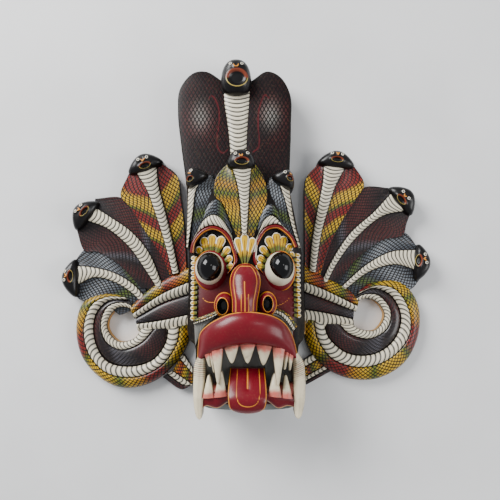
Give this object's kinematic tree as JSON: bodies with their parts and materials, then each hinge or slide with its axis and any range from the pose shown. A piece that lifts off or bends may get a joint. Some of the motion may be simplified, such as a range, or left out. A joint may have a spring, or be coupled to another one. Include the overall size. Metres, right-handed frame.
{
  "type": "naga raksha mask",
  "caption": "Carved and painted wooden demon mask under a crown of cobras, with a hinged wing of cobras over a coil at each side.",
  "frame": {"origin": "on the surface that the mask lies on, under the middle of its outline", "axes": "+Z out of the face, +Y to the top of the crown, +X to the right of someone who looks at the face"},
  "size_m": [0.4201, 0.397, 0.0969],
  "materials": {
    "painted_face": "gloss paint in crimson, gold, cream and black over carved wood",
    "painted_wing": "gloss paint with fine hatching in red, yellow, green and dark brown over carved wood",
    "brass": "worn brass"
  },
  "bodies": {
    "mask": {"face": "painted_face", "left_hinge_face_leaf": "brass", "right_hinge_face_leaf": "brass"},
    "left_wing": {"left_wing": "painted_wing", "left_hinge_wing_leaf": "brass"},
    "right_wing": {"right_wing": "painted_wing", "right_hinge_wing_leaf": "brass"}
  },
  "joints": [
    {"name": "left_wing_hinge", "type": "hinge", "parent": "mask", "child": "left_wing", "pos_m": [-0.0646, -0.105, 0.023], "axis": [0, 1, 0], "range_deg": [0, 75]},
    {"name": "right_wing_hinge", "type": "hinge", "parent": "mask", "child": "right_wing", "pos_m": [0.0646, -0.105, 0.023], "axis": [0, -1, 0], "range_deg": [0, 75]}
  ]
}
